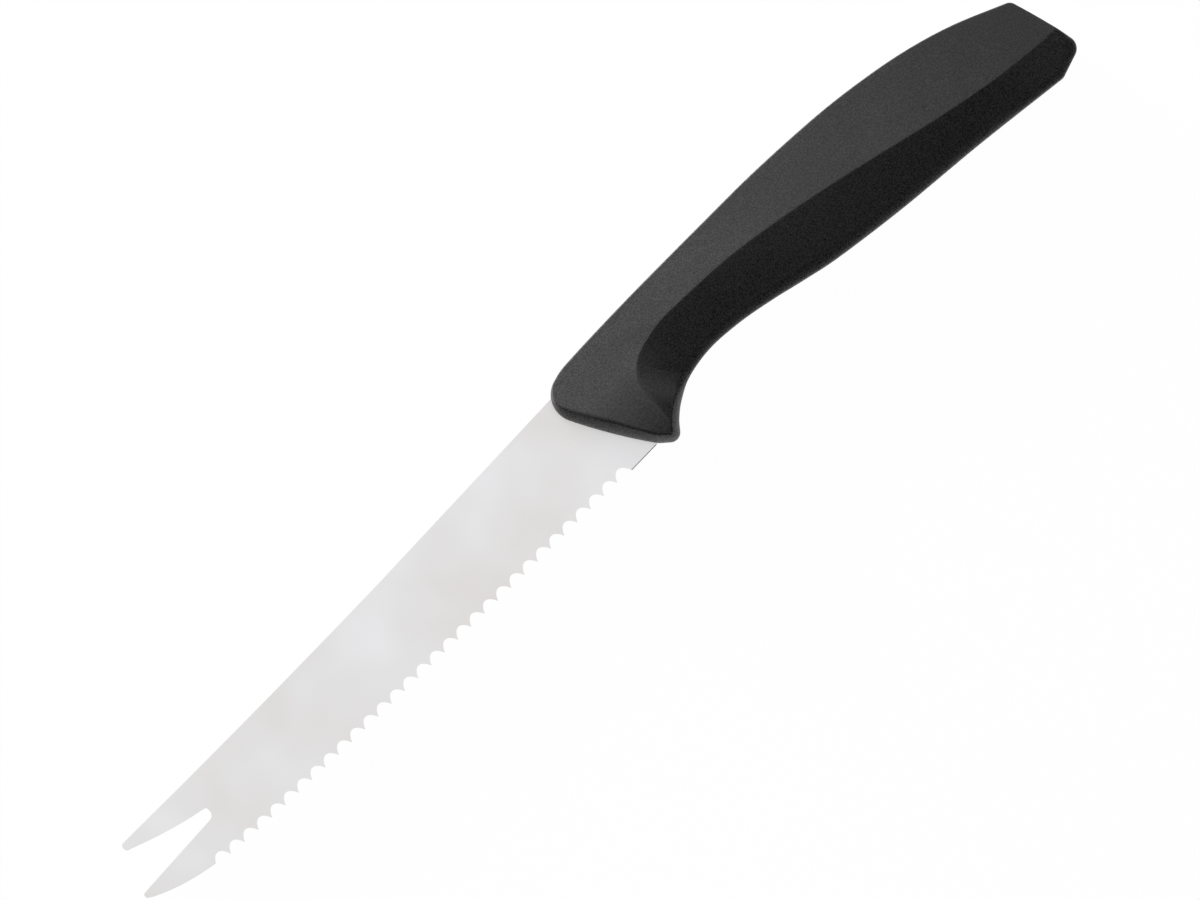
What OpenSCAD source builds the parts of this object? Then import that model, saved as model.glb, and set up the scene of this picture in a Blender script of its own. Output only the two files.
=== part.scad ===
// Tomato knife: a stamped blade with a forked tip and a scalloped edge, and a
// plastic handle moulded round its tang.
//
// The knife lies on its right side. +X runs along the blade towards the butt,
// +Y towards the spine and +Z out of the blade's left face. The origin is on
// that face, halfway down the blade, in line with the handle's foremost point.

/* [Blade] */
// Length in front of the handle, to the tip of the long prong
blade_len = 114.6; // [100:0.1:150]
// Height where the blade leaves the handle
blade_h = 19.5; // [18:0.1:21]
// Thickness of the ground blade
blade_t = 1.2; // [0.9:0.05:2]
// How far the spine sags below a straight line
spine_sag = 0.75; // [0:0.05:1.5]
// How much lower the spine ends at the fork than at the handle
spine_drop = 0.15; // [0:0.05:1.5]

/* [Fork] */
// Depth of the notch, from the tip of the long prong
notch_depth = 19.2; // [14:0.1:26]
// Width of the notch at its root
root_w = 2; // [1.6:0.1:3]
// Width of the notch at the tip of the short prong
mouth_w = 7.55; // [5:0.1:8]
// Height of the notch's lower side at the root, above the centreline
root_y = 1.25; // [0.5:0.05:2]
// How much lower that side is at the long prong's tip than at the root
root_fall = 0.68; // [0:0.05:1.5]
// How far the short prong's tip lies behind the long one's
short_back = 3.5; // [0:0.05:6]
// Height of the short prong's blunt end
short_tip_h = 1.5; // [1:0.05:2.5]
// Height of the long prong's end
long_tip_h = 0.9; // [0.6:0.05:1.6]
// Radius of the notch's corner on the spine side
upper_root_r = 0.36; // [0.1:0.02:0.5]
// Radius of the notch's corner on the edge side
lower_root_r = 1.2; // [0.2:0.05:1.3]
// Height of the hollow in the short prong's lower side
prong_hollow = 1.5; // [0:0.05:2]
// Roundness of the prongs' ends, as a share of their height
tip_round = 0.46; // [0.1:0.01:0.48]

/* [Edge] */
// Number of scallops
scallops = 31; // [20:1:36]
// Depth of a scallop on the left face
scallop_depth = 1.68; // [0.8:0.05:2]
// Angle between the grinding wheel's path and the blade
grind_angle = 25; // [18:1:40]
// Length of the plain edge on the long prong
plain_tip = 13; // [8:0.1:18]
// Distance from the end of the last scallop to the handle's foremost point
scallop_end = 1.8; // [-3:0.1:3]
// How much the scallops widen from the fork to the handle, as a share of one
scallop_drift = 0.016; // [0:0.002:0.04]
// How far the teeth are ground back from the line of the heel
tooth_step = 0.25; // [0:0.05:0.6]
// How far the scalloped edge climbs towards the fork
edge_climb = 3.25; // [1:0.05:4]
// How slowly that climb starts
edge_power = 1.34; // [1:0.02:2]
// How much further the curved edge climbs to the long prong's tip
belly_climb = 5.15; // [4:0.05:6]
// How late the edge starts to curve up
belly_power = 12; // [8:0.5:16]
// How late the row of scallops does
row_power = 14; // [8:0.5:18]

/* [Tang] */
// How much each face is ground below the rolled sheet that is left on the tang
grind_depth = 0.05; // [0.02:0.01:0.1]
// Gap between the ground face and the handle's front
ground_gap = 0.3; // [0.1:0.05:0.6]
// Length of the tang behind the handle's foremost point
tang_len = 76; // [50:1:85]
// Height of the tang behind its shoulders
tang_h = 9; // [7:0.1:10]
// Height of the tang at its end
tang_end_h = 6.5; // [5.5:0.1:8]
// Height of its middle above the centreline, behind the shoulders
tang_y = 4.7; // [3:0.1:6]
// How far the tang slopes down towards its end
tang_fall = 6.2; // [4:0.1:7]
// Length of the full-height part inside the handle's front, at the spine
shoulder_len = 9; // [7:0.1:11]
// Diameter of the holes that the plastic locks into
tang_hole_d = 4; // [3:0.1:4.5]
// Number of those holes
tang_holes = 3; // [1:1:4]

/* [Handle outline] */
// Length of the handle, to the butt's lower corner before that is rounded
handle_len = 113.45; // [108:0.05:125]
// Height of its top line above the blade's centreline
top_h = 12.33; // [12.2:0.01:15]
// Radius of the nose, over the spine
nose_r = 4.95; // [3:0.05:6]
// Height of the nose's centre
nose_y = 6.7; // [6:0.1:7.5]
// How far round the nose goes before the top line starts
nose_turn = 104; // [90:1:110]
// How far the front leans back from square, below the nose
front_lean = 25.1; // [20:0.1:28]
// How far it leans at the heel of the blade
heel_lean = 34; // [30:0.5:38]
// Radius of the front's bow
front_bow = 102; // [80:1:150]
// Radius in which the front turns into the guard
heel_r = 5; // [3:0.1:8]
// How far the front of the guard leans
guard_lean = 48; // [44:1:54]
// Length of its straight part
guard_flat = 1.8; // [1:0.1:2.5]
// Radius of the guard's point
guard_r = 1.8; // [1:0.1:2.4]
// Direction in which the back of the guard rises
guard_back = 48; // [40:1:60]
// Distance of the narrow waist from the nose
waist_x = 27.5; // [24:0.5:32]
// Depth of the waist's underside below the centreline
waist_low = 4.6; // [4:0.05:6.5]
// Distance of the palm swell from the nose
palm_x = 70; // [64:0.5:76]
// Height of the top line at the palm swell
palm_top = 10.84; // [9.5:0.01:12]
// Depth of the underside at the palm swell
palm_low = 12.06; // [11:0.02:14]
// Height of the butt's upper corner, mostly below the centreline
butt_top = -0.05; // [-2:0.05:1.5]
// Depth of the butt's lowest corner
butt_low = 16.6; // [15:0.1:18]
// How far the butt's end face leans
butt_lean = 13.9; // [4:0.1:16]
// How far that face bulges
butt_bow = 0.15; // [0:0.05:0.6]
// Length and rise of the cut under the butt
toe_cut = 6.4; // [4:0.1:8]
// Height of that cut at the end face
toe_rise = 2; // [1:0.1:3]
// Radius of the butt's upper corner and of the foot of its cut
corner_r = 1.8; // [1.2:0.1:2]
// Radius of the butt's lower corner
heel_corner_r = 2.3; // [1.4:0.1:2.8]

/* [Handle crease] */
// Place of the crease's front end, behind the guard
hook_x = 12.8; // [12.4:0.1:14]
// Depth of the crease's front end below the centreline
hook_low = 3.6; // [2:0.1:4.5]
// Height of the crease at the waist
crease_waist = 5.3; // [4:0.1:6.5]
// Depth of the crease at the palm swell
crease_palm = 1.3; // [0:0.1:3]
// Depth of the crease at the butt
crease_butt = 9.3; // [8:0.1:11]

/* [Handle thickness] */
// Thickness along the top of the nose
nose_w = 8.2; // [7:0.1:10]
// How steeply each side of the front rises from there
front_slope = 0.287; // [0.15:0.01:0.4]
// Height at which it starts to roll over
roll_y = 3.5; // [0:0.1:6]
// How fast it rolls over: the drop at 1 mm below that height
front_roll = 0.019; // [0.01:0.001:0.03]
// Thickness along the top edge, at the waist
waist_top_w = 9.4; // [8:0.1:11]
// Thickness along the top edge, at the palm swell
palm_top_w = 11; // [9:0.1:12.5]
// Thickness along the top edge, at the butt
butt_top_w = 11.9; // [10:0.1:13]
// Thickness at the crease, at the waist
waist_w = 13; // [11:0.1:15]
// Thickness at the crease, at the palm swell
palm_w = 14.6; // [13:0.1:17]
// Thickness at the crease, behind the palm swell
rear_w = 13.7; // [12:0.1:16]
// Thickness at the crease, at the butt
butt_w = 11.9; // [11:0.1:14]
// Thickness at the guard's point
guard_w = 12.8; // [10:0.1:14]
// Thickness at the back of the guard
back_w = 11.2; // [9:0.1:13]
// Thickness at the underside of the waist
waist_low_w = 5.8; // [5:0.1:8]
// Thickness along the bottom edge, at the palm swell
palm_low_w = 6.8; // [6:0.1:9]
// Thickness along the bottom edge, at the butt
toe_w = 7; // [6:0.1:9]
// How much the sides bulge between the crease and the edges
side_bulge = 0.12; // [0:0.02:0.5]

/* [Handle edges] */
// Radius of the front's edge
front_r = 0.9; // [0.4:0.05:1.2]
// Draft of the front wall
front_draft = 1.7; // [0.6:0.05:2]
// Radius of the nose's and the guard's edges
guard_edge_r = 0.5; // [0.3:0.05:1]
// Draft of the nose's wall
nose_draft = 0.5; // [0.2:0.05:1]
// Draft of the guard's wall, at its front and its back
guard_draft = 1.3; // [0.5:0.05:1.5]
// Radius of the top edge
top_r = 0.3; // [0.2:0.05:1]
// Crown of the top
top_crown = 0.1; // [0.05:0.05:0.8]
// Radius of the bottom edge
low_r = 1.75; // [0.6:0.05:2.2]
// Crown of the underside
low_crown = 0.2; // [0.1:0.05:0.8]
// Radius of the edge along the cut under the butt
toe_r = 1.4; // [0.6:0.1:2]
// Radius of the edge round the butt's face
butt_r = 0.3; // [0.2:0.05:1]

/* [Hidden] */
$fn = 96;
mid_z = -blade_t / 2;
spine_y = blade_h / 2;
heel_y = -blade_h / 2;

// Plane curves

function mix(a, b, t) = a + (b - a) * t;
function dir(angle) = [cos(angle), sin(angle)];
function last(list) = list[len(list) - 1];
function arc(centre, r, from, to, n) = [for (i = [0 : n]) centre + r * dir(mix(from, to, i / n))];

// A parabola from a to c, pulled towards b
function bend(a, b, c, n) = [for (i = [0 : n]) let (t = i / n) mix(mix(a, b, t), mix(b, c, t), t)];

// The fillet at b between the lines to a and to c
function fillet(a, b, c, r, n) =
    let (u = (a - b) / norm(a - b), v = (c - b) / norm(c - b),
         half = acos(max(-1, min(1, u * v))) / 2,
         m = (u + v) / norm(u + v),
         centre = b + m * r / sin(half),
         p = b + u * r / tan(half) - centre,
         q = b + v * r / tan(half) - centre,
         from = atan2(p.y, p.x),
         turn = atan2(p.x * q.y - p.y * q.x, p * q))
    arc(centre, r, from, from + turn, n);

// A closed outline of [x, y, radius] corners, each with a radius above 0 rounded
function rounded(corners) =
    let (n = len(corners))
    [for (i = [0 : n - 1])
        let (a = corners[(i + n - 1) % n], b = corners[i], c = corners[(i + 1) % n])
        each b.z > 0
            ? fillet([a.x, a.y], [b.x, b.y], [c.x, c.y], b.z, 8)
            : [[b.x, b.y]]];
function sharp(points) = [for (p = points) [p.x, p.y, 0]];

// A smooth curve through every point of a list, with n steps from each to the next
function slope(k, i) = (k[min(i + 1, len(k) - 1)] - k[max(i - 1, 0)]) / (i > 0 && i < len(k) - 1 ? 2 : 1);
function hermite(a, b, da, db, t) =
    a * (1 + 2 * t) * (1 - t) * (1 - t) + da * t * (1 - t) * (1 - t)
    + b * t * t * (3 - 2 * t) - db * t * t * (1 - t);
function through(k, n) =
    [for (i = [0 : len(k) - 2])
        for (j = [0 : n - 1 + (i == len(k) - 2 ? 1 : 0)])
            hermite(k[i], k[i + 1], slope(k, i), slope(k, i + 1), j / n)];

// A smooth value at x, through [x, value] pairs
function value_at(x, k, i = 0) =
    i < len(k) - 2 && x > k[i + 1].x ? value_at(x, k, i + 1)
    : let (w = k[i + 1].x - k[i].x,
           t = max(0, min(1, (x - k[i].x) / w)),
           before = i > 0 ? (k[i + 1].y - k[i - 1].y) / (k[i + 1].x - k[i - 1].x) : 0,
           after = i < len(k) - 2 ? (k[i + 2].y - k[i].y) / (k[i + 2].x - k[i].x) : 0)
      hermite(k[i].y, k[i + 1].y, before * w, after * w, t);

// A path that can be read at any distance along it
function distances(p) =
    [for (i = 0, d = 0; i < len(p); d = d + (i < len(p) - 1 ? norm(p[i + 1] - p[i]) : 0), i = i + 1) d];
function path(p) =
    let (d = distances(p))
    [[for (i = [0 : len(p) - 1]) [d[i], p[i].x]], [for (i = [0 : len(p) - 1]) [d[i], p[i].y]], last(d)];
function at(path, d) = [lookup(d, path[0]), lookup(d, path[1])];
function stretch(path, from, to, n) = [for (i = [0 : n]) at(path, mix(from, to, i / n))];

// The blade

tip_x = -blade_len;
short_x = tip_x + short_back;
root_x = tip_x + notch_depth;
first_tooth = tip_x + plain_tip;
long_y = root_y - root_fall;
mouth_y = long_y + mouth_w;

function spine_at(x) =
    let (q = x / short_x)
    spine_y - spine_drop * q - spine_sag * 4 * q * (1 - q);

// The edge before the scallops are ground: a slow climb from the heel, and a belly
// that rises as a high power of the distance from it
function edge_at(x, power = belly_power) =
    let (d = max(0, scallop_end - x))
    heel_y + tooth_step + edge_climb * pow(d / (scallop_end - first_tooth), edge_power)
    + belly_climb * pow(d / (scallop_end - tip_x), power);
function row_at(x) = edge_at(x, row_power);

// The handle's front is a chain of arcs that run into each other: nose, bow and heel.
// A flat and the guard's point follow
nose = [nose_r, nose_y];
bow_centre = nose + (front_bow - nose_r) * dir(front_lean);
heel_centre = bow_centre - (front_bow - heel_r) * dir(heel_lean);
guard = heel_centre - (heel_r - guard_r) * dir(guard_lean) + guard_flat * dir(guard_lean - 90);
front_arcs = [[nose, nose_r], [bow_centre, front_bow], [heel_centre, heel_r]];

// The place at height y of a line that runs so far in front of the handle's front
function front_at(y, gap) =
    let (bow_top = nose.y - nose_r * sin(front_lean),
         bow_low = bow_centre.y - front_bow * sin(heel_lean),
         c = front_arcs[y > bow_top ? 0 : y > bow_low ? 1 : 2],
         r = c[1] + gap)
    [c[0].x - sqrt(r * r - (y - c[0].y) * (y - c[0].y)), y];
spine_front = front_at(spine_y, ground_gap);
heel_front = front_at(heel_y, ground_gap);

pitch = (scallop_end - first_tooth) / scallops;
function tooth_x(i) =
    let (s = i / scallops)
    mix(first_tooth, scallop_end, s - scallop_drift * s * (1 - s));

// The plate ends this far behind the start of the tang, inside its thickness
plate_lap = 1;
// Sharp corners between the two curved sides of the notch and its ends, as
// [distance from the end, height above or below it]
short_corner = [1.2, -0.4];
upper_corner = [1, 0.25];
lower_corner = [2, -0.1];
long_corner = [1.5, 0];
tip_drop = 0.1;

// The rounding of the short prong's end leaves a little of its wall flat
round_limit = 0.48;
short_tip_r = min(short_tip_h * tip_round, (spine_at(short_x) - mouth_y) * round_limit);

plate_outline = rounded(concat(
    sharp([[spine_front.x + plate_lap, spine_at(0)]]),
    sharp([for (i = [1 : 14]) let (x = short_x * i / 15) [x, spine_at(x)]]),
    [[short_x, spine_at(short_x), short_tip_r]],
    [[short_x, mouth_y, short_tip_r]],
    sharp(bend([short_x, mouth_y] + short_corner,
               [mix(short_x, root_x, 0.55), root_y + root_w + prong_hollow],
               [root_x - upper_corner.x, root_y + root_w + upper_corner.y], 6)),
    [[root_x, root_y + root_w, upper_root_r]],
    [[root_x, root_y, lower_root_r]],
    sharp(bend([root_x - lower_corner.x, root_y + lower_corner.y],
               [mix(root_x, tip_x, 0.5), long_y + 0.2], [tip_x, long_y] + long_corner, 5)),
    [[tip_x, long_y - tip_drop, long_tip_h * tip_round]],
    [[tip_x, long_y - tip_drop - long_tip_h, long_tip_h * tip_round]],
    sharp([for (x = [tip_x + short_corner.x : 1.5 : first_tooth]) [x, edge_at(x)]]),
    sharp([[first_tooth + pitch * 0.3, edge_at(first_tooth + pitch * 0.3)]]),
    sharp([for (i = [1 : 2 : scallops - 2])
        let (x = tooth_x(i + 0.1)) [x, row_at(x) - tooth_step]]),
    sharp([[scallop_end - pitch * 0.3, heel_y], [heel_front.x + plate_lap, heel_y]])));

// A wheel with a rounded rim cuts each scallop from the right face, at a shallow
// angle: the cut is a tilted round bar, whose end on the left face is half an ellipse
cut_h = scallop_depth * sin(grind_angle);

// Where the edge curves up to the fork, the cuts turn with it
climb_angle = atan2(edge_power * edge_climb, scallop_end - first_tooth);
function cut_turn(a, b) =
    let (turn = atan2(row_at(b) - row_at(a), b - a) + climb_angle)
    turn < -1.5 ? turn : 0;

module scallop_cut(a, b) {
    cut_r = (pow((b - a) / 2, 2) + cut_h * cut_h) / (2 * cut_h);
    cut_reach = cut_r * cos(grind_angle) + 0.5;
    translate([(a + b) / 2, (row_at(a) + row_at(b)) / 2, 0])
        rotate([0, 0, cut_turn(a, b)])
        translate([0, scallop_depth - cut_r / sin(grind_angle), 0])
        rotate([-90 - grind_angle, 0, 0])
        translate([0, 0, -cut_reach / sin(grind_angle)])
        cylinder(r = cut_r, h = (2 * cut_reach + blade_t) / sin(grind_angle));
}

// The tang keeps the sheet's rolled thickness. It starts in front of the handle,
// is as high as the blade up to its shoulders, and runs down the handle's middle
tang_root = [shoulder_len + 3, tang_y];
tang_tail = [tang_len, tang_y - tang_fall];
tang_outline = rounded(concat([
    [spine_front.x, spine_at(0), 0],
    [shoulder_len, spine_y - 0.2, 1.5],
    [tang_root.x, tang_root.y + tang_h / 2, 1.5],
    [tang_tail.x, tang_tail.y + tang_end_h / 2, 2],
    [tang_tail.x, tang_tail.y - tang_end_h / 2, 2],
    [tang_root.x + 4, tang_root.y - tang_h / 2, 2],
    [heel_front.x + 2.2, heel_y + 0.4, 0.5],
    [heel_front.x + 1.4, heel_y, 0.3]],
    sharp([for (i = [0 : 18]) front_at(mix(heel_y, spine_y - 0.5, i / 18), ground_gap)])));

module tang() {
    translate([0, 0, -blade_t - grind_depth])
        linear_extrude(blade_t + 2 * grind_depth)
        difference() {
            polygon(tang_outline);
            for (i = [1 : tang_holes])
                translate(mix(tang_root, tang_tail, i / (tang_holes + 0.6)))
                    circle(d = tang_hole_d);
        }
}

module blade() {
    color([0.86, 0.86, 0.87]) union() {
        difference() {
            translate([0, 0, -blade_t]) linear_extrude(blade_t) polygon(plate_outline);
            for (i = [0 : scallops - 1])
                scallop_cut(tooth_x(i), tooth_x(i + 1));
        }
        tang();
    }
}

// The handle's outline, in two halves that both run from the guard's point to
// the butt: one over the front, the nose and the top, one along the underside

nose_top = nose + nose_r * dir(nose_turn);
guard_end = guard + guard_r * dir(guard_back - 90);

toe_y = -butt_low + toe_rise;
butt_lower = [handle_len, toe_y];
butt_upper = [handle_len - (butt_top - toe_y) * tan(butt_lean), butt_top];
butt_toe = [handle_len - toe_cut, -butt_low];

// The butt's face is a shallow bow, which can be read at any height
butt_face = [for (i = [0 : 30])
    let (t = i / 30)
    mix(butt_upper, butt_lower, t) + dir(butt_lean) * 4 * butt_bow * t * (1 - t)];
function on_face(y) = [lookup(-y, [for (p = butt_face) [-p.y, p.x]]), y];
crease_end = on_face(-crease_butt);

// Points of a curve between two corners of a box, given as shares of its sides
function shares(a, b, list) = [for (s = list) [mix(a.x, b.x, s.x), mix(a.y, b.y, s.y)]];

waist_up = [waist_x, top_h];
palm_up = [palm_x, palm_top];
top_curve = through(concat(
    [nose_top],
    shares(nose_top, waist_up, [[0.1, 0.61], [0.3, 0.86], [0.64, 1.01]]),
    [waist_up],
    shares(waist_up, palm_up, [[0.33, 0.13], [0.66, 0.33]]),
    [palm_up],
    shares(palm_up, butt_upper, [[0.25, 0.12], [0.5, 0.305], [0.74, 0.58]]),
    [butt_upper]), 12);

waist_down = [waist_x, -waist_low];
palm_down = [palm_x, -palm_low];
low_curve = through(concat(
    [guard_end],
    shares(guard_end, waist_down, [[0.115, 0.28], [0.295, 0.575], [0.575, 0.865]]),
    [waist_down],
    shares(waist_down, palm_down, [[0.165, 0.075], [0.33, 0.26], [0.49, 0.49], [0.66, 0.71]]),
    [palm_down],
    shares(palm_down, butt_toe, [[0.49, 0.44]]),
    [butt_toe]), 12);

hook = [hook_x, -hook_low];
waist_crease = [waist_x, crease_waist];
palm_crease = [palm_x, -crease_palm];
// The crease's last smooth point before it meets the butt's face
crease_stop = crease_end + [-2.6, 0.1];
crease_path = path(through(concat(
    [hook],
    shares(hook, waist_crease, [[0.05, 0.21], [0.145, 0.55], [0.34, 0.845], [0.65, 0.975]]),
    [waist_crease],
    shares(waist_crease, palm_crease, [[0.33, 0.14], [0.66, 0.5]]),
    [palm_crease],
    shares(palm_crease, crease_stop, [[0.37, 0.47], [0.65, 0.77], [0.83, 0.91]]),
    [crease_stop]), 10));

// Steps along each half: the guard's arc, its flat, the heel, the bow, the nose, the
// long lines, the butt's corner and its face
guard_n = 4;
flat_n = 1;
heel_n = 2;
bow_n = 6;
nose_n = 9;
long_n = 36;
butt_n = 5;
face_n = 6;
front_n = flat_n + heel_n + bow_n;
long_start = guard_n + front_n + nose_n;
long_end = long_start + long_n;
half_n = long_end + butt_n + face_n;

function without_last(list) = [for (i = [0 : len(list) - 2]) list[i]];

guard_mid = mix(180 + guard_lean, 270 + guard_back, 0.5);
butt_arc = fillet(top_curve[len(top_curve) - 2], butt_upper, butt_face[2], corner_r, butt_n);
toe_arc = fillet(low_curve[len(low_curve) - 2], butt_toe, butt_lower, corner_r, butt_n);
heel_arc = fillet(butt_toe, butt_lower, butt_face[28], heel_corner_r, 4);
top_path = path(concat(without_last(top_curve), [butt_arc[0]]));
low_path = path(concat(without_last(low_curve), [toe_arc[0]]));

upper_half = concat(
    arc(guard, guard_r, guard_mid, 180 + guard_lean, guard_n),
    without_last(arc(heel_centre, heel_r, 180 + guard_lean, 180 + heel_lean, heel_n)),
    without_last(arc(bow_centre, front_bow, 180 + heel_lean, 180 + front_lean, bow_n)),
    without_last(arc(nose, nose_r, 180 + front_lean, nose_turn, nose_n)),
    without_last(stretch(top_path, 0, top_path[2], long_n)),
    butt_arc,
    [for (i = [1 : face_n]) on_face(mix(last(butt_arc).y, crease_end.y, i / face_n))]);

// The underside turns from the guard's back into the long line at this distance
back_len = 10.5;
lower_half = concat(
    without_last(arc(guard, guard_r, guard_mid, 270 + guard_back, guard_n)),
    without_last(stretch(low_path, 0, back_len, front_n + nose_n)),
    without_last(stretch(low_path, back_len, low_path[2], long_n)),
    toe_arc,
    heel_arc,
    [crease_end]);

// Distance along the crease that each step of both halves reaches. The butt's steps
// share its last stretch
hook_len = 7.5;
crease_tail = 1.5;
function crease_step(j) =
    let (total = crease_path[2])
    j <= long_start ? hook_len * j / long_start
    : j <= long_end ? mix(hook_len, total - crease_tail, (j - long_start) / long_n)
    : total - crease_tail * (half_n - j) / (half_n - long_end);
crease_line = [for (j = [0 : half_n]) at(crease_path, crease_step(j))];

// The closed outline, and the step of a half that each of its points belongs to
loop_n = 2 * half_n;
function half_step(i) = i <= half_n ? i : loop_n - i;
outline = [for (i = [0 : loop_n - 1]) i <= half_n ? upper_half[i] : lower_half[loop_n - i]];
function inward(i) =
    let (t = outline[(i + 1) % loop_n] - outline[(i + loop_n - 1) % loop_n])
    [t.y, -t.x] / norm(t);
function eased(t) = let (c = max(0, min(1, t))) c * c * (3 - 2 * c);

// The front's half thickness at a height: a flat facet that rolls over further down
function front_z(y) =
    nose_w / 2 + front_slope * (top_h - y) - front_roll * pow(max(0, roll_y - y), 2);

// A value eased from stage to stage, through [step, value] pairs
function staged(j, k, i = 0) =
    i < len(k) - 2 && j > k[i + 1].x ? staged(j, k, i + 1)
    : mix(k[i].y, k[i + 1].y, eased((j - k[i].x) / (k[i + 1].x - k[i].x)));

// Each point's edge radius and the crown of its wall
function radius_at(i) =
    let (j = half_step(i))
    staged(j, i <= half_n
        ? [[guard_n, guard_edge_r], [10, front_r], [14, front_r], [18, guard_edge_r], [long_start, top_r],
           [long_end, top_r], [half_n - 3, butt_r]]
        : [[10, guard_edge_r], [24, low_r], [52, low_r], [57, toe_r], [long_end + butt_n, toe_r],
           [half_n - 1, butt_r]]);
function crown_at(i) =
    let (j = half_step(i))
    staged(j, i <= half_n
        ? [[guard_n, guard_draft], [10, front_draft], [13, front_draft], [18, nose_draft],
           [long_start, top_crown], [half_n, top_crown]]
        : [[10, guard_draft], [24, low_crown], [long_end + butt_n, low_crown], [half_n, top_crown]]);
radii = [for (i = [0 : loop_n - 1]) radius_at(i)];
crowns = [for (i = [0 : loop_n - 1]) crown_at(i)];
feet = [for (i = [0 : loop_n - 1]) outline[i] + inward(i) * (crowns[i] + radii[i] * 0.7)];

// How far a point belongs to the front: along the nose this fades out on the way to
// the top line, and below the crease on the way to the guard's back
function at_front(i) =
    let (j = half_step(i))
    1 - (i <= half_n ? eased((j - 20) / 8) : eased(j / 8));

// Half thickness at the crease
function crease_z(c) =
    mix(front_z(c.y),
        value_at(c.x, [[hook_x, waist_w / 2], [waist_x, waist_w / 2], [palm_x, palm_w / 2],
                       [mix(palm_x, crease_stop.x, 0.5), rear_w / 2], [crease_stop.x, butt_w / 2]]),
        eased((c.x - hook_x - 2.2) / 9));
crease_heights = [for (c = crease_line) crease_z(c)];

// Round the butt the edge climbs to the crease with the distance from the crease's line
crease_side = let (run = crease_end - crease_line[long_end]) [run.y, -run.x] / norm(run);
function from_crease(p) = abs((p - crease_end) * crease_side);
function edge_z(i) =
    let (j = half_step(i), upper = i <= half_n,
         z = staged(j, upper
             ? [[long_start, nose_w / 2], [32, waist_top_w / 2], [42, palm_top_w / 2], [54, butt_top_w / 2]]
             : [[4, guard_w / 2], [12, back_w / 2], [26, waist_low_w / 2], [40, palm_low_w / 2],
                [long_end, toe_w / 2]]),
         far = from_crease(feet[upper ? long_end : loop_n - long_end]),
         butt = j > long_end ? max(0, 1 - from_crease(feet[i]) / far) : 0)
    mix(mix(z, front_z(feet[i].y), upper ? at_front(i) : 1 - eased((j - 2) / 3)), butt_w / 2, butt);
edge_heights = [for (i = [0 : loop_n - 1]) edge_z(i)];

// How far the side bulges between its edge and the crease: not at all at the butt
function bulge(j) = side_bulge * (1 - eased((j - long_end + 12) / 12));

// The side's tilt at its edge, where the edge's arc ends
function tilt_at(i) =
    let (j = half_step(i), n = inward(i), p = feet[i],
         spoke = crease_line[j] - p,
         rise = (1 + bulge(j)) * (crease_heights[j] - edge_heights[i]) * (spoke * n) / (spoke * spoke))
    atan(mix(rise, front_z((p + n).y) - front_z(p.y), at_front(i)));
tilts = [for (i = [0 : loop_n - 1]) tilt_at(i)];
side_line = [for (i = [0 : loop_n - 1])
    outline[i] + inward(i) * (crowns[i] + radii[i] * (1 - sin(tilts[i])))];

// Rows from the parting line, over the wall and the rounded edge, to the crease
wall_rows = [0, 0.5, 1];
edge_rows = [1 / 3, 2 / 3, 1];
side_rows = [0.2, 0.45, 0.72];
row_n = len(wall_rows) + len(edge_rows) + len(side_rows);

// One point of the half shell, as [x, y, height above the middle]
function shell_point(i, k) =
    let (j = half_step(i), c = crease_line[j], n = inward(i),
         r = radii[i], z = edge_heights[i], wall_z = z - r * cos(tilts[i]),
         n_w = len(wall_rows), n_e = len(edge_rows))
    k < n_w ? let (s = wall_rows[k], p = outline[i] + n * crowns[i] * s * s)
                  [p.x, p.y, wall_z * s]
    : k < n_w + n_e ? let (a = edge_rows[k - n_w] * (90 - tilts[i]),
                           p = outline[i] + n * (crowns[i] + r * (1 - cos(a))))
                  [p.x, p.y, wall_z + r * sin(a)]
    : let (w = side_rows[k - n_w - n_e], p = mix(side_line[i], c, w),
           straight = mix(z, crease_heights[j], w + bulge(j) * w * (1 - w)))
                  [p.x, p.y, mix(straight, front_z(p.y), at_front(i))];

module handle_body() {
    ring = [for (i = [0 : loop_n - 1]) shell_point(i, 0)];
    side = concat(
        [for (k = [1 : row_n - 1]) for (i = [0 : loop_n - 1]) shell_point(i, k)],
        [for (j = [0 : half_n]) [crease_line[j].x, crease_line[j].y, crease_heights[j]]]);
    left = [for (p = side) [p.x, p.y, mid_z + p.z]];
    right = [for (p = side) [p.x, p.y, mid_z - p.z]];
    parting = [for (p = ring) [p.x, p.y, mid_z]];
    crease_row = row_n - 1;
    function index(i, k, base) =
        k == 0 ? i % loop_n
        : k <= crease_row ? base + (k - 1) * loop_n + i % loop_n
        : base + crease_row * loop_n + half_step(i % loop_n);
    function quads(base, flip) =
        [for (k = [0 : crease_row]) for (i = [0 : loop_n - 1])
            let (a = index(i, k, base), b = index(i + 1, k, base),
                 c = index(i + 1, k + 1, base), d = index(i, k + 1, base))
            each flip ? [[a, c, b], [a, d, c]] : [[a, b, c], [a, c, d]]];
    polyhedron(
        points = concat(parting, left, right),
        faces = concat(quads(loop_n, false), quads(loop_n + len(left), true)));
}

module handle() {
    color([0.11, 0.11, 0.115]) difference() {
        handle_body();
        tang();
    }
}

blade();
handle();
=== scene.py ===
"""Tomato knife: a ground stainless blade with a forked tip and a scalloped edge, in a black handle."""

import math

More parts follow.
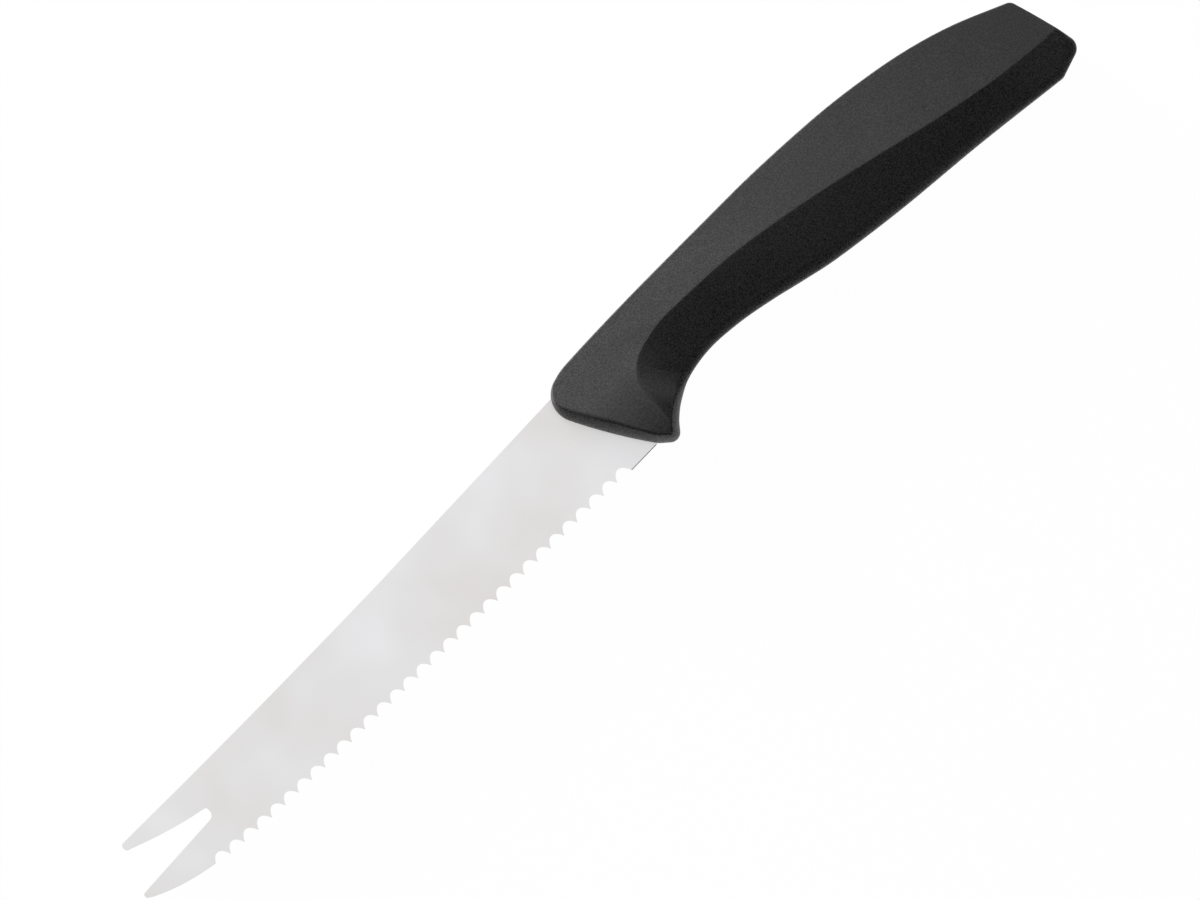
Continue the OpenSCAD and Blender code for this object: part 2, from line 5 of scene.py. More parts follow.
import bmesh
import bpy
import numpy as np
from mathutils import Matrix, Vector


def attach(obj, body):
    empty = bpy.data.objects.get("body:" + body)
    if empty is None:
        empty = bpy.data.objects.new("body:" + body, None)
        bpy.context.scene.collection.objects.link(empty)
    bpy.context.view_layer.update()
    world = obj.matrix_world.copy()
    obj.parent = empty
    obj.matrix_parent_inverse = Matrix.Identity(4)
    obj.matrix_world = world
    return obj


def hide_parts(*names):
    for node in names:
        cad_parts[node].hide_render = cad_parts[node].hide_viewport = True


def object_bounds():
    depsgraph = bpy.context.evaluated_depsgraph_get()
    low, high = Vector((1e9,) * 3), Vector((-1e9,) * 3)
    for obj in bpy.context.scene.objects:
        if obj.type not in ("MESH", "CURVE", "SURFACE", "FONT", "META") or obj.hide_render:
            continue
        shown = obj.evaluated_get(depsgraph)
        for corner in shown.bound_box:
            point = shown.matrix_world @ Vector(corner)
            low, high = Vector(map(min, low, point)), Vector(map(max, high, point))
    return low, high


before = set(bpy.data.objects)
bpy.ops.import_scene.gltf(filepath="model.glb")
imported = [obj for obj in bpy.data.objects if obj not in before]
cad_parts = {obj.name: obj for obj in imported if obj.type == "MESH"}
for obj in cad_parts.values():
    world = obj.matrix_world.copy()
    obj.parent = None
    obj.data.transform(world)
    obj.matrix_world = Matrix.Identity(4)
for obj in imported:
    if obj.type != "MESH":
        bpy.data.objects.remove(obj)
cad_low, cad_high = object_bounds()

# The view: square on to the blade's left face, from so far away that nothing spreads.
# The knife lies corner to corner in the picture, with the spine up and to the left.
MM = 0.001
picture_width = 216.8 * MM
camera_height = 1.2
knife_turn = math.radians(-46.0)
aim = (0.51 * MM, -3.06 * MM)

camera_data = bpy.data.cameras.new("camera")
camera_data.sensor_width = 36.0
camera_data.lens = camera_data.sensor_width * camera_height / picture_width
camera = bpy.data.objects.new("camera", camera_data)
camera.location = (aim[0], aim[1], camera_height)
camera.rotation_euler = (0.0, 0.0, knife_turn)
bpy.context.scene.collection.objects.link(camera)
bpy.context.scene.camera = camera

# The studio: a white floor that the handle lies on, a pale room all round, and one
# large soft lamp low over the spine's side, which leaves the facet away from it dark.
bpy.context.scene.view_settings.view_transform = "Standard"
floor_size = 3.0
floor_level = cad_low.z
floor_shade = 0.015
room_light = 0.1
lamp_size = 0.4
lamp_distance = 0.9
lamp_power = 20.5
lamp_tilt = math.radians(70.0)
lamp_side = math.radians(8.0)


def linear(colour, alpha=1.0):
    """An sRGB hex colour such as "#a0b1c2" as linear red, green, blue and alpha."""
    srgb = np.array([int(colour[i : i + 2], 16) for i in (1, 3, 5)]) / 255
    values = np.where(srgb <= 0.04045, srgb / 12.92, ((srgb + 0.055) / 1.055) ** 2.4)
    return (*values, alpha)


def add(graph, kind, links=None, **settings):
    """Adds a node of a kind, sets what settings names on it or on its inputs, and links
    each named input to an output."""
    node = graph.nodes.new(kind)
    for name, value in settings.items():
        if hasattr(node, name):
            setattr(node, name, value)
        else:
            node.inputs[name.replace("_", " ")].default_value = value
    for name, output in (links or {}).items():
        graph.links.new(output, node.inputs[name])
    return node


def new_material(name):
    """An empty node material, its tree and its output node."""
    material = bpy.data.materials.new(name)
    material.use_nodes = True
    material.node_tree.nodes.clear()
    return material, material.node_tree, material.node_tree.nodes.new("ShaderNodeOutputMaterial")


def new_piece(name, points, faces, material):
    """A mesh object at the origin, made from an array of points and a list of faces."""
    mesh = bpy.data.meshes.new(name)
    mesh.from_pydata(points, [], faces)
    mesh.materials.append(material)
    mesh.shade_smooth()
    mesh.update()
    piece = bpy.data.objects.new(name, mesh)
    bpy.context.scene.collection.objects.link(piece)
    return piece


# Painted board: it shows white to the camera and keeps a faint shadow of the knife.
# From below it is clear, so that the knife's other face can be looked at.
white_board, board, board_out = new_material("white_board")
board_path = add(board, "ShaderNodeLightPath")
paint = add(board, "ShaderNodeBsdfDiffuse", Color=linear("#f4f4f4"))
glow = add(board, "ShaderNodeEmission", Color=linear("#ffffff"), Strength=1.0)
shown = add(board, "ShaderNodeMixShader", Fac=1.0 - floor_shade)
board.links.new(paint.outputs[0], shown.inputs[1])
board.links.new(glow.outputs[0], shown.inputs[2])
board_seen = add(
    board,
    "ShaderNodeMath",
    operation="MAXIMUM",
    links={0: board_path.outputs["Is Camera Ray"], 1: board_path.outputs["Is Glossy Ray"]},
)
upper_side = add(board, "ShaderNodeMixShader", links={"Fac": board_seen.outputs[0]})
board.links.new(paint.outputs[0], upper_side.inputs[1])
board.links.new(shown.outputs[0], upper_side.inputs[2])
from_below = add(board, "ShaderNodeNewGeometry")
clear = add(board, "ShaderNodeBsdfTransparent")
both_sides = add(board, "ShaderNodeMixShader", links={"Fac": from_below.outputs["Backfacing"]})
board.links.new(upper_side.outputs[0], both_sides.inputs[1])
board.links.new(clear.outputs[0], both_sides.inputs[2])
board.links.new(both_sides.outputs[0], board_out.inputs["Surface"])

corners = np.array([[-1, -1, 0], [1, -1, 0], [1, 1, 0], [-1, 1, 0]]) * floor_size / 2
floor = new_piece("floor", corners + [0, 0, floor_level], [(0, 1, 2, 3)], white_board)

world = bpy.data.worlds.new("room")
world.use_nodes = True
world.node_tree.nodes.clear()
bpy.context.scene.world = world
room = world.node_tree
room_path = add(room, "ShaderNodeLightPath")
seen_or_mirrored = add(
    room,
    "ShaderNodeMath",
    operation="MAXIMUM",
    links={0: room_path.outputs["Is Camera Ray"], 1: room_path.outputs["Is Glossy Ray"]},
)
room_seen = add(
    room,
    "ShaderNodeMath",
    operation="MAXIMUM",
    links={0: seen_or_mirrored.outputs[0], 1: room_path.outputs["Is Transmission Ray"]},
)
strength = add(room, "ShaderNodeMapRange", {"Value": room_seen.outputs[0]}, To_Min=room_light, To_Max=1.0)
light = add(room, "ShaderNodeBackground", {"Strength": strength.outputs[0]}, Color=linear("#ffffff"))
room_out = room.nodes.new("ShaderNodeOutputWorld")
room.links.new(light.outputs[0], room_out.inputs["Surface"])

lamp_data = bpy.data.lights.new("softbox", "AREA")
lamp_data.shape = "SQUARE"
lamp_data.size = lamp_size
lamp_data.energy = lamp_power
lamp = bpy.data.objects.new("softbox", lamp_data)
lamp.location = lamp_distance * np.array(
    [
        math.sin(lamp_side) * math.sin(lamp_tilt),
        math.cos(lamp_side) * math.sin(lamp_tilt),
        math.cos(lamp_tilt),
    ]
)
lamp.rotation_euler = (-lamp_tilt, 0.0, -lamp_side)
bpy.context.scene.collection.objects.link(lamp)

# Handle: one thick-walled moulding of black polypropylene, shot round the tang. Two long
# facets meet along a crease on each side, and the two halves meet at a parting line
# that runs all round at the middle of its thickness.
# Lengths are in millimetres. Heights over the parting line are halves of a thickness.
middle = -0.6
fine = 6

# In the knife's plane: the front's arcs, from the nose down to the guard
nose_radius, nose_y = 4.95, 6.7
nose_end = math.radians(104.0)
front_radius, front_lean = 102.0, math.radians(25.1)
heel_radius, heel_lean = 5.0, math.radians(34.0)
guard_radius, guard_lean = 1.8, math.radians(48.0)
guard_flat = 1.8
guard_back = math.radians(48.0)

# The waist, the palm swell and the butt: their places along the handle, tops and depths
waist_x, waist_top, waist_depth = 27.5, 12.33, 4.6
palm_x, palm_top, palm_depth = 70.0, 10.84, 12.06
butt_x, butt_top, butt_depth = 113.45, -0.05, 16.6
butt_lean, butt_bow = math.radians(13.9), 0.15
toe_cut, toe_rise = 6.4, 2.0
corner_radius, heel_corner = 1.8, 2.3

# The crease: the hook where it starts in the front, its height along the handle, and the
# short straight tail that takes it to the butt's face
hook = np.array([13.2, -8.4])
crease_at_waist, crease_at_palm, crease_at_butt = 5.3, -1.3, -9.3
crease_tail = [2.6, -0.1]

# Half thicknesses: the front's flat facet, then each half's edge and the crease
nose_half, facet_slope = 4.1, 0.287
facet_end, roll = 3.5, 0.019
guard_half, back_half = 6.4, 5.6
waist_top_half, palm_top_half, butt_top_half = 4.7, 5.5, 6.0
waist_low_half, palm_low_half, toe_half = 3.45, 3.95, 4.0
waist_half, palm_half, butt_half = 6.5, 7.3, 5.95
rear_x, rear_half = 90.0, 6.85

# Edges: the radius of the rounding, and the draft of the wall below it
nose_edge = (0.6, 0.5)
front_edge = (0.9, 1.7)
heel_edge = (0.8, 1.35)
guard_edge = (0.5, 1.3)
back_edge = (0.5, 1.3)
top_edge = (0.25, 0.08)
low_edge = (4.0, 0.01)
toe_edge = (2.4, 0.05)
end_edge = (0.35, 0.1)

side_bulge = 0.12
crease_softness, hook_softness, hook_fade = 0.12, 1.6, 12.0
seam_height, seam_width = 0.04, 0.08


def mix(a, b, t):
    """The value that lies t of the way from a to b."""
    return a + (b - a) * t


def eased(t):
    """A step from 0 to 1 that starts and ends level: 3t squared less 2t cubed."""
    t = np.clip(t, 0.0, 1.0)
    return t * t * (3 - 2 * t)


def heading(angle):
    """The unit vector at an angle."""
    return np.stack([np.cos(angle), np.sin(angle)], axis=-1)


def arc(centre, radius, start, end, n):
    """n + 1 points of a circle's arc from one angle to another."""
    return centre + radius * heading(np.linspace(start, end, n + 1))


def line(a, b, n):
    """n + 1 points of the straight line from a to b."""
    return mix(np.asarray(a), np.asarray(b), np.linspace(0, 1, n + 1)[:, None])


def fillet(a, b, c, radius, n):
    """The arc that rounds the corner at b between the lines to a and to c: its centre lies on
    the corner's bisector, and it touches each line at radius / tan(half the corner)."""
    a, b, c = np.asarray(a), np.asarray(b), np.asarray(c)
    u, v = (a - b) / np.linalg.norm(a - b), (c - b) / np.linalg.norm(c - b)
    half = math.acos(np.clip(u @ v, -1, 1)) / 2
    centre = b + (u + v) / np.linalg.norm(u + v) * radius / math.sin(half)
    p, q = b + u * radius / math.tan(half) - centre, b + v * radius / math.tan(half) - centre
    start = math.atan2(p[1], p[0])
    return arc(centre, radius, start, start + math.atan2(p[0] * q[1] - p[1] * q[0], p @ q), n)


def smooth(knots, n):
    """A curve through every knot, with n steps from each to the next: cubic spans whose slope
    at a knot is half the step from the knot before it to the knot after it."""
    k = np.asarray(knots, float)
    slope = np.gradient(k, axis=0)
    t = np.linspace(0, 1, n, endpoint=False)[None, :, None]
    a, b, da, db = k[:-1, None], k[1:, None], slope[:-1, None], slope[1:, None]
    start = a * (1 + 2 * t) * (1 - t) ** 2 + da * t * (1 - t) ** 2
    spans = start + b * t * t * (3 - 2 * t) - db * t * t * (1 - t)
    return np.concatenate([spans.reshape(-1, k.shape[1]), k[-1:]])


def at_distance(curve, distance):
    """The points that lie at the given distances along a curve."""
    steps = np.linalg.norm(np.diff(curve, axis=0), axis=1)
    reached = np.concatenate([[0], np.cumsum(steps)])
    return np.stack([np.interp(distance, reached, curve[:, i]) for i in range(2)], axis=-1)


def length_of(curve):
    """A curve's length."""
    return np.linalg.norm(np.diff(curve, axis=0), axis=1).sum()


def through(x, places, values):
    """A smooth value at x through (place, value) pairs: cubic spans, level at both ends."""
    places, values = np.asarray(places, float), np.asarray(values, float)
    slope = np.zeros(len(places))
    slope[1:-1] = (values[2:] - values[:-2]) / (places[2:] - places[:-2])
    i = np.clip(np.searchsorted(places, x) - 1, 0, len(places) - 2)
    width = places[i + 1] - places[i]
    t = np.clip((x - places[i]) / width, 0, 1)
    start = values[i] * (1 + 2 * t) * (1 - t) ** 2 + slope[i] * width * t * (1 - t) ** 2
    return start + values[i + 1] * t * t * (3 - 2 * t) - slope[i + 1] * width * t * t * (1 - t)


def shares(a, b, list_of_shares):
    """Points in the box between two corners, given as shares of its width and height."""
    return [mix(np.asarray(a), np.asarray(b), np.asarray(s)) for s in list_of_shares]


# The outline in the knife's plane, as two halves that run from the guard's point to the butt.
# The front is a chain of arcs that run into each other: guard, heel, front and nose.
nose = np.array([nose_radius, nose_y])
nose_top = nose + nose_radius * heading(nose_end)
front_centre = nose + (front_radius - nose_radius) * heading(front_lean)
heel_centre = front_centre - (front_radius - heel_radius) * heading(heel_lean)
guard = heel_centre - (heel_radius - guard_radius) * heading(guard_lean)
guard += guard_flat * heading(guard_lean - math.pi / 2)
guard_end = guard + guard_radius * heading(guard_back - math.pi / 2)

toe_y = toe_rise - butt_depth
butt_upper = np.array([butt_x - (butt_top - toe_y) * math.tan(butt_lean), butt_top])
butt_lower = np.array([butt_x, toe_y])
butt_toe = np.array([butt_x - toe_cut, -butt_depth])
crease_aim = np.array([butt_x - (crease_at_butt - toe_y) * math.tan(butt_lean), crease_at_butt])
crease_stop = crease_aim - crease_tail

# Each long curve goes through its main points, and between two of them through points that
# are given as shares of the box they span
waist_up, palm_up = np.array([waist_x, waist_top]), np.array([palm_x, palm_top])
top_curve = smooth(
    [
        nose_top,
        *shares(nose_top, waist_up, [[0.1, 0.61], [0.3, 0.86], [0.64, 1.01]]),
        waist_up,
        *shares(waist_up, palm_up, [[0.33, 0.13], [0.66, 0.33]]),
        palm_up,
        *shares(palm_up, butt_upper, [[0.25, 0.12], [0.5, 0.305], [0.74, 0.58]]),
        butt_upper,
    ],
    12 * fine,
)
waist_down, palm_down = np.array([waist_x, -waist_depth]), np.array([palm_x, -palm_depth])
low_curve = smooth(
    [
        guard_end,
        *shares(guard_end, waist_down, [[0.115, 0.28], [0.295, 0.575], [0.575, 0.865]]),
        waist_down,
        *shares(waist_down, palm_down, [[0.165, 0.075], [0.33, 0.26], [0.49, 0.49], [0.66, 0.71]]),
        palm_down,
        *shares(palm_down, butt_toe, [[0.49, 0.44]]),
        butt_toe,
    ],
    12 * fine,
)
crease_waist, crease_palm = np.array([waist_x, crease_at_waist]), np.array([palm_x, crease_at_palm])
crease_curve = smooth(
    [
        hook,
        *shares(hook, crease_waist, [[0.01, 0.24], [0.005, 0.43], [0.045, 0.605]]),
        *shares(hook, crease_waist, [[0.13, 0.75], [0.32, 0.895], [0.64, 0.98]]),
        crease_waist,
        *shares(crease_waist, crease_palm, [[0.33, 0.14], [0.66, 0.5]]),
        crease_palm,
        *shares(crease_palm, crease_stop, [[0.37, 0.47], [0.65, 0.77], [0.83, 0.91]]),
        crease_stop,
    ],
    10 * fine,
)

# Steps along each stretch of a half, from the guard's point to the crease's end at the butt
guard_n, flat_n, heel_n, front_n, nose_n = (n * fine for n in (4, 1, 2, 6, 9))
long_n, butt_n, end_n = (n * fine for n in (36, 5, 6))
back_n = flat_n + heel_n + front_n + nose_n
long_start = guard_n + back_n
long_end = long_start + long_n
half_n = long_end + butt_n + end_n
loop_n = 2 * half_n

# The front's spokes end on the crease's first stretch, from points on the outline's front
# and on the first stretch of its lower curve; the butt's end on the crease's last stretch
hook_length, back_length, butt_length = 12.5, 10.5, 1.5
guard_middle = mix(math.pi + guard_lean, 1.5 * math.pi + guard_back, 0.5)


def trimmed(curve, corner, onward, radius):
    """A curve cut short where the fillet at its end touches it, and the point it was cut at."""
    a, b, c = at_distance(curve, length_of(curve) - 1.0), np.asarray(corner), np.asarray(onward)
    u, v = (a - b) / np.linalg.norm(a - b), (c - b) / np.linalg.norm(c - b)
    cut = radius / math.tan(math.acos(u @ v) / 2)
    kept = at_distance(curve, np.linspace(0, length_of(curve) - cut, len(curve)))
    return kept, kept[-1]


def bowed(a, b, bow, n):
    """n + 1 points from a to b of a line that bows out to its left: it stands 4 t (1 - t) times
    the bow off the straight line."""
    a, b = np.asarray(a), np.asarray(b)
    t = np.linspace(0, 1, n + 1)[:, None]
    side = np.array([a[1] - b[1], b[0] - a[0]]) / np.linalg.norm(b - a)
    return mix(a, b, t) + side * 4 * bow * t * (1 - t)


# The butt's face is bowed. It is cut short at both ends, where its corners' arcs touch it.
butt_face = bowed(butt_upper, butt_lower, butt_bow, 200)
near_top, near_low = at_distance(butt_face, [1.0, length_of(butt_face) - 1.0])
top_path, top_stop = trimmed(top_curve, butt_upper, near_top, corner_radius)
low_path, low_stop = trimmed(low_curve, butt_toe, butt_lower, corner_radius)
butt_arc = fillet(top_stop, butt_upper, near_top, corner_radius, butt_n)
toe_arc = fillet(low_stop, butt_toe, butt_lower, corner_radius, butt_n)
heel_arc = fillet(butt_toe, butt_lower, near_low, heel_corner, end_n - 2 * fine)
face_start, face_stop = butt_arc[-1][1], heel_arc[-1][1]


def on_face(y):
    """The points of the butt's face at the given heights."""
    return np.stack([np.interp(-y, -butt_face[:, 1], butt_face[:, 0]), y], axis=-1)


crease_end = on_face(np.array(crease_at_butt))
face_upper = on_face(np.linspace(face_start, crease_at_butt, end_n + 1))
face_lower = on_face(np.linspace(face_stop, crease_at_butt, fine + 1))
flat_start = guard - guard_radius * heading(guard_lean)
flat_stop = heel_centre - heel_radius * heading(guard_lean)
upper = np.concatenate(
    [
        arc(guard, guard_radius, guard_middle, math.pi + guard_lean, guard_n)[:-1],
        line(flat_start, flat_stop, flat_n)[:-1],
        arc(heel_centre, heel_radius, math.pi + guard_lean, math.pi + heel_lean, heel_n)[:-1],
        arc(front_centre, front_radius, math.pi + heel_lean, math.pi + front_lean, front_n)[:-1],
        arc(nose, nose_radius, math.pi + front_lean, nose_end, nose_n)[:-1],
        at_distance(top_path, np.linspace(0, length_of(top_path), long_n + 1))[:-1],
        butt_arc[:-1],
        face_upper,
    ]
)
lower = np.concatenate(
    [
        arc(guard, guard_radius, guard_middle, 1.5 * math.pi + guard_back, guard_n)[:-1],
        at_distance(low_path, np.linspace(0, back_length, back_n + 1))[:-1],
        at_distance(low_path, np.linspace(back_length, length_of(low_path), long_n + 1))[:-1],
        toe_arc[:-1],
        line(toe_arc[-1], heel_arc[0], fine)[:-1],
        heel_arc[:-1],
        face_lower,
    ]
)
outline = np.concatenate([upper, lower[-2:0:-1]])

# Each outline point has a step along its half, and a spoke that ends on the crease.
step = np.minimum(np.arange(loop_n), loop_n - np.arange(loop_n))
is_upper = np.arange(loop_n) <= half_n
crease_length = length_of(crease_curve)
reach = np.interp(
    step, [0, long_start, long_end, half_n], [0, hook_length, crease_length - butt_length, crease_length]
)
spoke_end = at_distance(crease_curve, reach)
along = np.roll(outline, -1, axis=0) - np.roll(outline, 1, axis=0)
inward = np.stack([along[:, 1], -along[:, 0]], axis=-1) / np.linalg.norm(along, axis=1, keepdims=True)


def stages(upper_stages, lower_stages):
    """A value along the outline: it eases from each (mark, value) to the next, on either half.
    A mark counts steps in lots of fine."""
    values = []
    for marks in (upper_stages, lower_stages):
        places, levels = np.array([m[0] for m in marks]) * fine, np.array([m[1] for m in marks])
        i = np.clip(np.searchsorted(places, step, side="right") - 1, 0, len(places) - 2)
        t = eased((step - places[i]) / (places[i + 1] - places[i]))
        values.append(mix(levels[i], levels[i + 1], t))
    return np.where(is_upper, *values)


# Round the butt the edge goes by its distance from the crease's line.
crease_run = spoke_end[half_n] - spoke_end[long_end]
crease_side = np.array([crease_run[1], -crease_run[0]]) / np.linalg.norm(crease_run)


def along_butt(points):
    """A share that rises from 0, where the butt's arcs begin, to 1 at the crease's end, with the
    points' distance from the crease's line."""
    off_crease = np.abs((points - crease_end) @ crease_side)
    first = np.where(is_upper, off_crease[long_end], off_crease[loop_n - long_end])
    return np.where(step > long_end, np.clip(1 - off_crease / first, 0, 1), 0)


# The edge round the outline: its radius as drawn, and the draft of the wall below it. Over
# the last stretch round the butt both ease to the end's own.
end_from = 0.3
drawn_radius, draft = (
    mix(
        stages(
            [(0, guard_edge[i]), (4, guard_edge[i]), (7, heel_edge[i]), (10, front_edge[i])]
            + [(14, heel_edge[i]), (18, nose_edge[i]), (22, top_edge[i]), (69, top_edge[i])],
            [(0, guard_edge[i]), (5, back_edge[i]), (10, back_edge[i]), (24, low_edge[i])]
            + [(52, low_edge[i]), (57, toe_edge[i]), (69, toe_edge[i])],
        ),
        end_edge[i],
        eased((along_butt(outline) - end_from) / (1 - end_from)),
    )
    for i in (0, 1)
)


def facet(y):
    """Half thickness of the front at a height: a flat facet, which rolls over as a parabola
    below its end."""
    below = np.maximum(facet_end - y, 0)
    return nose_half + facet_slope * (waist_top - y) - roll * below**2


# The spoke starts a little inside the outline, and the edge's height there is the half
# thickness: the front's facet, then each half's own, then the crease's round the butt.
foot_share, foot_reach = 0.7, 1.3
half_height = stages(
    [(0, guard_half), (5, guard_half), (14, nose_half), (22, nose_half), (32, waist_top_half)]
    + [(42, palm_top_half), (54, butt_top_half), (69, butt_top_half)],
    [(0, guard_half), (4, guard_half), (11, back_half), (22, waist_low_half), (40, palm_low_half)]
    + [(58, toe_half), (69, toe_half)],
)
foot = outline + inward * (draft + np.minimum(foot_share * drawn_radius, foot_reach))[:, None]
edge_at_front, at_front = (
    np.where(is_upper, 1 - eased((step / fine - 20) / 8), 1 - eased(t))
    for t in ((step / fine - 2) / 3, step / fine / 8)
)
half_height = mix(half_height, facet(foot[:, 1]), edge_at_front)
half_height = mix(half_height, butt_half, along_butt(foot))

# The crease lies in the front's facet at first, and then parts from it to its own height
parting_x, parting_length = 15.0, 9.0
crease_height = mix(
    facet(spoke_end[:, 1]),
    through(
        spoke_end[:, 0],
        [hook[0], waist_x, palm_x, rear_x, crease_stop[0]],
        [waist_half, waist_half, palm_half, rear_half, butt_half],
    ),
    eased((spoke_end[:, 0] - parting_x) / parting_length),
)

# The edge's arc meets the wall at the slant of its draft, and the side at the side's own tilt.
# The radius leaves a wall below it, and the slant follows from the wall's height, which
# follows from the slant: a few rounds settle both.
most_of_wall, first_slant, slant_rounds = 0.95, 0.1, 8
probe = 0.05
bulge = side_bulge * (1 - eased((step - long_end + 12 * fine) / (12 * fine)))
spoke = spoke_end - foot
rise = (1 + bulge) * (crease_height - half_height) / (spoke**2).sum(axis=1) * (spoke * inward).sum(axis=1)
ahead, behind = foot[:, 1] + probe * inward[:, 1], foot[:, 1] - probe * inward[:, 1]
uphill = (facet(ahead) - facet(behind)) / (2 * probe)
tilt = np.arctan(mix(rise, uphill, at_front))
radius = np.minimum(drawn_radius, most_of_wall * half_height / np.cos(tilt))
slant = np.full(loop_n, first_slant)
for _ in range(slant_rounds):
    slant = np.arctan(2 * draft / (half_height - radius * (np.cos(tilt) - np.sin(slant))))
edge_width = draft + radius * (np.cos(slant) - np.sin(tilt))
side_start = outline + inward * edge_width[:, None]
spoke_length = np.linalg.norm(spoke_end - side_start, axis=1)
edge_height = mix(half_height, facet(side_start[:, 1]), np.where(is_upper, at_front, 0))

# Rows over the wall from the parting line, round the edge, and along the spoke to the crease.
# Seen along the knife, the side is a hyperbola: straight, and rounded at the crease by its softness.
wall_rows = np.array([0, 0.01, 0.02, 0.03, 0.05, 0.1, 0.2, 0.35, 0.5, 0.65, 0.8, 0.9, 1.0])[:, None]
edge_rows = np.linspace(0, 1, 11)[1:, None]
side_rows = np.sin(np.linspace(0, math.pi / 2, 23)[1:])[:, None] ** 0.9
wall_top = edge_height - radius * (np.cos(tilt) - np.sin(slant))
wall_height = wall_top * wall_rows
wall_in = draft * wall_rows**2 - seam_height * np.exp(-((wall_height / seam_width) ** 2))
turn = mix(slant, math.pi / 2 - tilt, edge_rows)
edge_in = draft + radius * (np.cos(slant) - np.cos(turn))
round_height = wall_top + radius * (np.sin(turn) - np.sin(slant))

soft_hook = mix(hook_softness, crease_softness, eased(reach / hook_fade))
softness = np.where(is_upper, crease_softness, soft_hook)
gap = spoke_length * (1 - side_rows - bulge * side_rows * (1 - side_rows))
full = np.sqrt(spoke_length**2 + softness**2) - softness
fallen = (np.sqrt(gap**2 + softness**2) - softness) / full
side_plan = side_start + (spoke_end - side_start) * side_rows[..., None]
side_height = mix(mix(crease_height, edge_height, fallen), facet(side_plan[..., 1]), at_front)

plan = np.concatenate(
    [
        outline + inward * wall_in[..., None],
        outline + inward * edge_in[..., None],
        side_plan,
    ]
)
height = np.concatenate([wall_height, round_height, side_height])
row_n = len(height)
left = np.concatenate([plan, (middle + height)[..., None]], axis=-1).reshape(-1, 3)
right = np.concatenate([plan, (middle - height)[..., None]], axis=-1).reshape(-1, 3)
grid = np.arange(row_n * loop_n).reshape(row_n, loop_n)
outer, inner = grid[:-1], grid[1:]
outer_next, inner_next = np.roll(outer, -1, axis=1), np.roll(inner, -1, axis=1)
left_faces = np.stack([outer, outer_next, inner_next, inner], axis=-1).reshape(-1, 4)
right_faces = np.stack([outer, inner, inner_next, outer_next], axis=-1).reshape(-1, 4) + len(left)

# Polypropylene, moulded in a spark-eroded cavity: a fine even grain that scatters most of the
# light, so the black looks like dark grey felt where the lamp strikes it, with little gloss.
# The shine goes with the grain as well, so the grain also shows on the facet in shadow.
black_polypropylene, plastic, plastic_out = new_material("black_polypropylene")
grain_width = 0.3 * MM
cloud_width = 9.0 * MM
grain_depth = 0.035 * MM
on_handle = add(plastic, "ShaderNodeTexCoord").outputs["Object"]
grain = add(plastic, "ShaderNodeTexNoise", {"Vector": on_handle}, Scale=1 / grain_width, Detail=3.0)
cloud = add(plastic, "ShaderNodeTexNoise", {"Vector": on_handle}, Scale=1 / cloud_width, Detail=2.0)
mottle = add(plastic, "ShaderNodeMix", {"A": grain.outputs["Fac"], "B": cloud.outputs["Fac"]}, Factor=0.3)
shade = add(plastic, "ShaderNodeValToRGB", {"Fac": mottle.outputs["Result"]})
shade.color_ramp.elements[0].position = 0.3
shade.color_ramp.elements[0].color = linear("#323233")
shade.color_ramp.elements[1].position = 0.7
shade.color_ramp.elements[1].color = linear("#3a3a3b")
gloss = add(plastic, "ShaderNodeMapRange", {"Value": grain.outputs["Fac"]}, To_Min=0.36, To_Max=0.44)
glint = add(
    plastic,
    "ShaderNodeMapRange",
    {"Value": grain.outputs["Fac"]},
    From_Min=0.35,
    From_Max=0.65,
    To_Min=0.0,
    To_Max=0.16,
)
pits = add(plastic, "ShaderNodeBump", {"Height": grain.outputs["Fac"]}, Strength=1.0, Distance=grain_depth)
grained = add(
    plastic,
    "ShaderNodeBsdfPrincipled",
    {
        "Base Color": shade.outputs["Color"],
        "Roughness": gloss.outputs["Result"],
        "Specular IOR Level": glint.outputs["Result"],
        "Normal": pits.outputs["Normal"],
    },
    IOR=1.49,
)
plastic.links.new(grained.outputs[0], plastic_out.inputs["Surface"])

handle = new_piece(
    "moulded_handle",
    np.concatenate([left, right]) * MM,
    np.concatenate([left_faces, right_faces]).tolist(),
    black_polypropylene,
)
# The two halves share the parting line, and on each of them the spokes from above and from
# below meet on the crease: the points that coincide there are joined
same_point = 0.0005 * MM
shell = bmesh.new()
shell.from_mesh(handle.data)
bmesh.ops.remove_doubles(shell, verts=shell.verts, dist=same_point)
shell.to_mesh(handle.data)
shell.free()
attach(handle, "root")
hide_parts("handle")

# Blade: stainless sheet, stamped to its outline, ground flat on both faces and polished to a
# satin. Its scallops are ground from the right face alone.
satin_steel, satin, satin_out = new_material("satin_stainless_steel")
tint_width = 22.0 * MM
on_blade = add(satin, "ShaderNodeTexCoord").outputs["Object"]
tint = add(satin, "ShaderNodeTexNoise", {"Vector": on_blade}, Scale=1 / tint_width, Detail=2.0)
colour = add(satin, "ShaderNodeValToRGB", {"Fac": tint.outputs["Fac"]})
colour.color_ramp.elements[0].position = 0.3
colour.color_ramp.elements[0].color = linear("#d7d4d2")
colour.color_ramp.elements[1].position = 0.7
colour.color_ramp.elements[1].color = linear("#e1e1e3")
ground = add(
    satin,
    "ShaderNodeBsdfPrincipled",
    {"Base Color": colour.outputs["Color"]},
    Metallic=1.0,
    Roughness=0.32,
)
satin.links.new(ground.outputs[0], satin_out.inputs["Surface"])

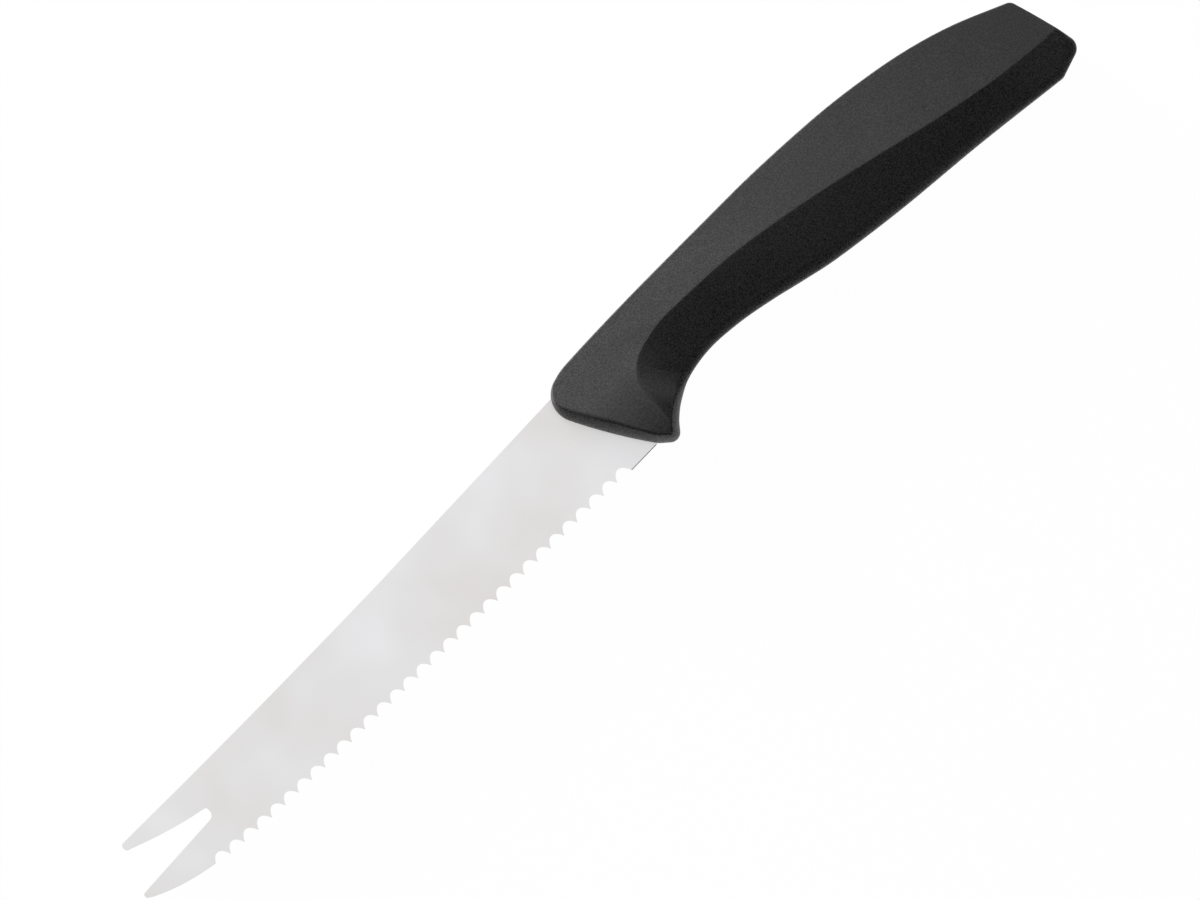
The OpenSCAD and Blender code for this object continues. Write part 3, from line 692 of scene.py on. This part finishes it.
# Sheared steel: the stamped edges, which the grinding and polishing wheels don't reach.
# They are torn rather than cut, so they scatter the light and look a dull grey.
sheared_steel, sheared, sheared_out = new_material("sheared_stainless_steel")
torn = add(
    sheared,
    "ShaderNodeBsdfPrincipled",
    Base_Color=linear("#6c6a68"),
    Metallic=1.0,
    Roughness=0.85,
)
sheared.links.new(torn.outputs[0], sheared_out.inputs["Surface"])

# The sheet keeps the CAD solid's shape. Only the heel's two long edges are broken, where
# a finger can touch them: the chamfer shows as a thin dark line.
sheet_top, sheet_thickness = 0.0, 1.2 * MM
flush = 0.002 * MM
flat_angle, square_angle = math.radians(1.0), math.radians(60.0)
heel_break = 0.14 * MM
heel_start, heel_end, heel_low = 1.8 * MM, 7.5 * MM, -9.0 * MM
sheared_slot = 1
sheet = bmesh.new()
sheet.from_mesh(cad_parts["blade"].data)
bmesh.ops.remove_doubles(sheet, verts=sheet.verts, dist=same_point)
bmesh.ops.dissolve_limit(sheet, angle_limit=flat_angle, verts=sheet.verts, edges=sheet.edges)
heel_edges = []
for edge in sheet.edges:
    start, end = (vertex.co for vertex in edge.verts)
    centre = (start + end) / 2
    level = abs(start.z - end.z) < flush
    on_a_face = min(abs(centre.z - sheet_top), abs(centre.z - sheet_top + sheet_thickness)) < flush
    square = edge.is_convex and edge.calc_face_angle(0.0) > square_angle
    if level and on_a_face and square and heel_start < centre.x < heel_end and centre.y < heel_low:
        heel_edges.append(edge)
bmesh.ops.bevel(
    sheet,
    geom=heel_edges,
    offset=heel_break,
    segments=3,
    profile=0.5,
    affect="EDGES",
    material=sheared_slot,
)
sheet.normal_update()

# The walls of the outline are sheared, apart from the row of ground scallops
upright = 0.2
row_start, row_top = -102.5 * MM, -3.0 * MM
for wall in sheet.faces:
    centre = wall.calc_center_median()
    in_the_row = row_start < centre.x < heel_start and centre.y < row_top
    if abs(wall.normal.z) < upright and not in_the_row:
        wall.material_index = sheared_slot
sheet_mesh = bpy.data.meshes.new("ground_blade")
sheet.to_mesh(sheet_mesh)
sheet.free()
for steel in (satin_steel, sheared_steel):
    sheet_mesh.materials.append(steel)
blade = bpy.data.objects.new("ground_blade", sheet_mesh)
bpy.context.scene.collection.objects.link(blade)
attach(blade, "root")
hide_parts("blade")
